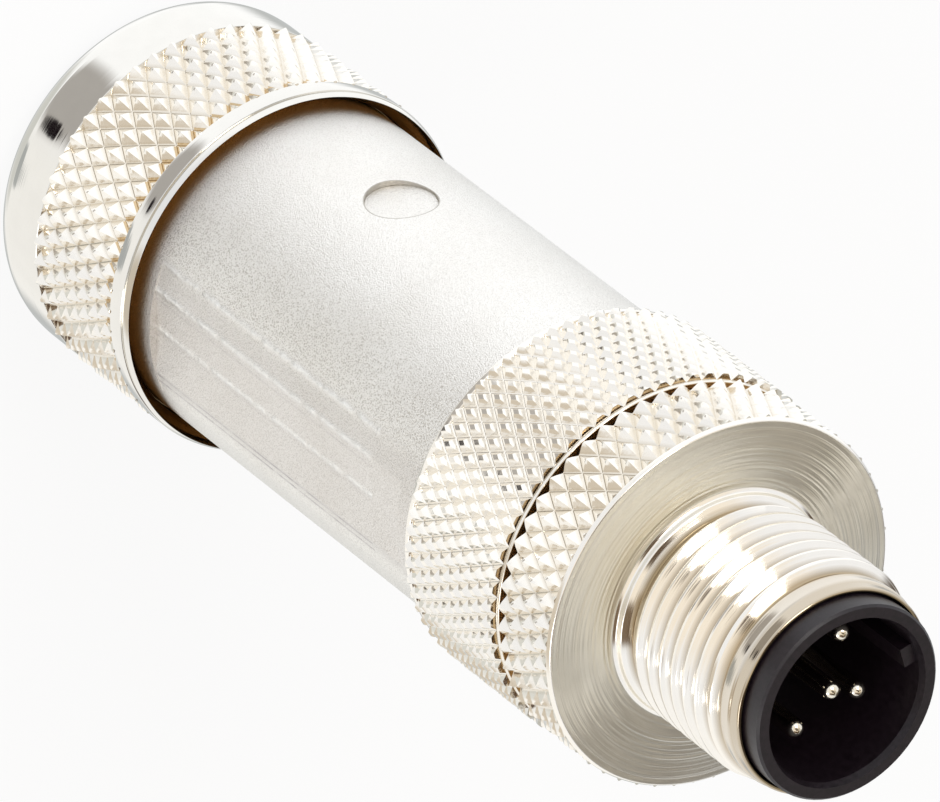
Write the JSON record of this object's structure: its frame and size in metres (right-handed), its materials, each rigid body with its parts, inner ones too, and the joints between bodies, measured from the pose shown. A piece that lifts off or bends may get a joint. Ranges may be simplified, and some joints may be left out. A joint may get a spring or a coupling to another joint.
{
  "type": "m12 connector",
  "caption": "Shielded round cable plug with a threaded coupling ring, knurled rings, plain metal sleeve and a knurled cable nut, male contacts inside a keyed collar.",
  "frame": {"origin": "centre of the cable nut's rear end, on the connector's axis", "axes": "+Z along the axis towards the mating face, +X through the coding key"},
  "size_m": [0.02, 0.02, 0.0616],
  "materials": {
    "nickel_bright": "bright nickel plate on brass",
    "nickel_satin": "satin nickel plate on die-cast zinc",
    "nickel_plain": "plain nickel plate",
    "spring_steel": "bare spring steel",
    "screw_steel": "zinc plated",
    "gold_plate": "gold plate",
    "black_plastic": "moulded, satin",
    "grey_plastic": "moulded",
    "pale_plastic": "moulded",
    "seal_rubber": "smooth",
    "gland_rubber": "smooth"
  },
  "bodies": {
    "insert": {"contact_carrier": "black_plastic", "pin_1": "gold_plate", "pin_2": "gold_plate", "pin_3": "gold_plate", "pin_4": "gold_plate", "pin_5": "gold_plate", "terminal_screw_1": "screw_steel", "terminal_screw_2": "screw_steel", "terminal_screw_3": "screw_steel", "terminal_screw_4": "screw_steel", "terminal_screw_5": "screw_steel", "carrier_ring": "nickel_bright", "retaining_ring": "spring_steel", "carrier_seal": "seal_rubber", "sleeve_seal": "seal_rubber", "spacer_tube": "pale_plastic"},
    "coupling": {"coupling_ring": "nickel_bright"},
    "gland": {"shield_ring": "nickel_plain", "shield_clamp_ring": "nickel_plain", "cable_seal": "gland_rubber"},
    "body_sleeve": {"sleeve": "nickel_satin"},
    "thrust": {"thrust_washer": "nickel_plain", "clamp_cage": "grey_plastic"},
    "nut": {"clamp_nut": "nickel_bright"}
  },
  "joints": [
    {"name": "coupling_turn", "type": "hinge", "parent": "insert", "child": "coupling", "pos_m": [0, 0, 0.05], "axis": [0, 0, 1], "continuous": true},
    {"name": "sleeve_travel", "type": "slide", "parent": "insert", "child": "gland", "axis": [0, 0, 1], "range_m": [-0.004, 0]},
    {"name": "sleeve_turn", "type": "hinge", "parent": "gland", "child": "body_sleeve", "pos_m": [0, 0, 0.03], "axis": [0, 0, 1], "range_deg": [-1440, 0]},
    {"name": "nut_travel", "type": "slide", "parent": "body_sleeve", "child": "thrust", "axis": [0, 0, 1], "range_m": [-0.005, 0]},
    {"name": "nut_turn", "type": "hinge", "parent": "thrust", "child": "nut", "pos_m": [0, 0, 0.006], "axis": [0, 0, 1], "range_deg": [-1800, 0]}
  ],
  "couplings": [
    {"joint": "sleeve_turn", "follows": "sleeve_travel", "rad_per_m": 6283.2},
    {"joint": "nut_turn", "follows": "nut_travel", "rad_per_m": 6283.2}
  ]
}
